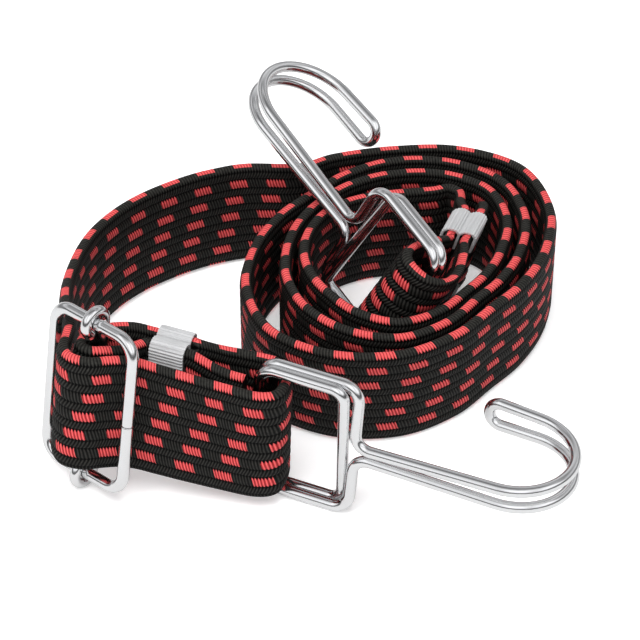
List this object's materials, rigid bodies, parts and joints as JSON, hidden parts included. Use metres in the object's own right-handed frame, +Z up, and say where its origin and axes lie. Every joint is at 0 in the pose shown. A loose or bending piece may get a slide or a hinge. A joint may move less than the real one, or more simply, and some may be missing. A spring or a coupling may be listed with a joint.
{
  "type": "luggage strap",
  "caption": "Coiled flat elastic luggage strap on its edge, with a doubled wire hook at each end and a wire slider.",
  "frame": {"origin": "middle of the outline on the floor, at the height of the webbing's lower edge", "axes": "+X to the right in the picture, +Y away from the viewer, +Z up, across the webbing's width"},
  "size_m": [0.1474, 0.153, 0.0579],
  "materials": {
    "webbing": "woven elastic, black with red dashes",
    "zinc_wire": "bright plated",
    "clip_sheet": "ribbed, satin"
  },
  "bodies": {
    "strap": {"strap_rear_loop": "webbing", "strap_coil": "webbing", "strap_arc": "webbing", "strap_run": "webbing", "slider_clip_top": "clip_sheet", "slider_clip_bottom": "clip_sheet", "rear_clip_top": "clip_sheet", "rear_clip_bottom": "clip_sheet"},
    "front_hook": {"front_hook": "zinc_wire"},
    "rear_hook": {"rear_hook": "zinc_wire"},
    "slider_bar": {"slider_bar": "zinc_wire"},
    "slider_frame": {"slider_frame": "zinc_wire"}
  },
  "joints": [
    {"name": "front_hook_swing", "type": "hinge", "parent": "strap", "child": "front_hook", "pos_m": [-0.0132, -0.04669, 0.02211], "axis": [0.0461, 0.0575, 0.9973], "range_deg": [-125, 8]},
    {"name": "rear_hook_swing", "type": "hinge", "parent": "strap", "child": "rear_hook", "pos_m": [0.02812, -0.00219, 0.02571], "axis": [-0.4603, 0.0646, -0.8854], "range_deg": [-2, 1]},
    {"name": "slider_turn", "type": "hinge", "parent": "strap", "child": "slider_bar", "pos_m": [-0.05704, -0.04123, 0.02722], "axis": [0.0987, 0.1979, 0.9752], "range_deg": [-0.5, 2]},
    {"name": "slider_frame_slide", "type": "slide", "parent": "slider_bar", "child": "slider_frame", "axis": [0.7462, -0.6631, 0.059], "range_m": [-0.0008, 0.0001]}
  ]
}
